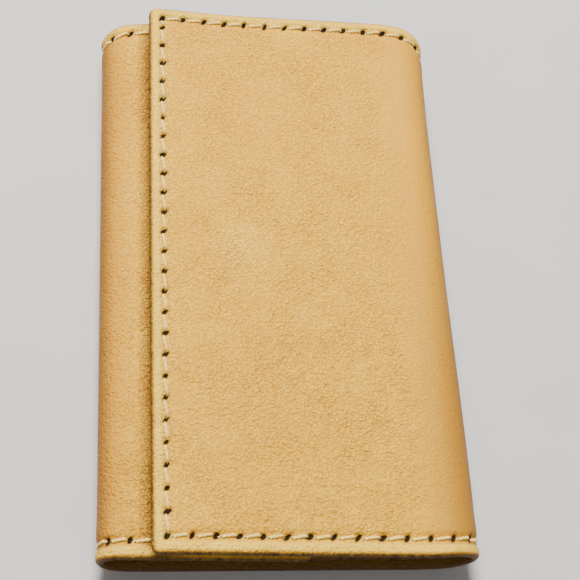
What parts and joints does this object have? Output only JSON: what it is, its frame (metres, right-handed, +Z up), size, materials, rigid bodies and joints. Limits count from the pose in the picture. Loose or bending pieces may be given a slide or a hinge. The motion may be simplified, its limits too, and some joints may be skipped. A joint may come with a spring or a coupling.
{
  "type": "trifold wallet",
  "caption": "Slim leather trifold wallet lying closed: snapped flap over a tucked inner panel, stepped card pockets, note compartment and stitched edges.",
  "frame": {"origin": "centre of the underside of the closed wallet", "axes": "+X from the inner panel's fold towards the flap's fold, +Y along the folds towards the mouth of the note compartment, +Z up out of the flap"},
  "size_m": [0.065, 0.1068, 0.013],
  "materials": {
    "leather_outer": "natural tan leather with a fine pebble grain",
    "leather_inner": "smooth tan leather, matt",
    "lining_cloth": "plain brown woven lining",
    "thread_cream": "waxed cream thread",
    "snap_metal": "satin antique brass",
    "spring_steel": "plain wire"
  },
  "bodies": {
    "centre": {"shell_centre": "leather_outer", "lining_centre": "lining_cloth", "divider_centre": "leather_inner", "rim_thread_centre": "thread_cream", "card_pocket_rear": "leather_inner", "card_pocket_middle": "leather_inner", "card_pocket_front": "leather_inner", "card_pocket_thread_rear": "thread_cream", "card_pocket_thread_middle": "thread_cream", "card_pocket_thread_front": "thread_cream"},
    "right_fold": {"shell_right_fold": "leather_outer", "lining_right_fold": "lining_cloth", "divider_right_fold": "leather_inner", "rim_thread_right_fold": "thread_cream"},
    "flap": {"shell_flap": "leather_outer", "lining_flap": "lining_cloth", "divider_flap": "leather_inner", "rim_thread_flap": "thread_cream", "flap_pocket": "leather_inner", "flap_pocket_thread": "thread_cream", "snap_cap": "snap_metal", "snap_socket": "snap_metal", "snap_spring": "spring_steel"},
    "left_fold": {"shell_left_fold": "leather_outer", "lining_left_fold": "lining_cloth", "divider_left_fold": "leather_inner", "rim_thread_left_fold": "thread_cream"},
    "inner_panel": {"shell_inner_panel": "leather_outer", "lining_inner_panel": "lining_cloth", "divider_inner_panel": "leather_inner", "rim_thread_inner_panel": "thread_cream", "inner_panel_pocket": "leather_inner", "inner_panel_pocket_thread": "thread_cream", "snap_stud": "snap_metal", "snap_post": "snap_metal"}
  },
  "joints": [
    {"name": "flap_fold_lower", "type": "hinge", "parent": "centre", "child": "right_fold", "pos_m": [0.0306, 0, 0.0019], "axis": [0, 1, 0], "range_deg": [0, 90]},
    {"name": "flap_fold_upper", "type": "hinge", "parent": "right_fold", "child": "flap", "pos_m": [0.0306, 0, 0.0111], "axis": [0, 1, 0], "range_deg": [0, 90]},
    {"name": "inner_fold_lower", "type": "hinge", "parent": "centre", "child": "left_fold", "pos_m": [-0.03109, 0, 0.00141], "axis": [0, -1, 0], "range_deg": [0, 90]},
    {"name": "inner_fold_upper", "type": "hinge", "parent": "left_fold", "child": "inner_panel", "pos_m": [-0.03097, 0, 0.00831], "axis": [0, -1, 0], "range_deg": [0, 90]}
  ],
  "couplings": [
    {"joint": "flap_fold_upper", "follows": "flap_fold_lower", "ratio": 1},
    {"joint": "inner_fold_lower", "follows": "flap_fold_lower", "ratio": 1},
    {"joint": "inner_fold_upper", "follows": "flap_fold_lower", "ratio": 1}
  ]
}
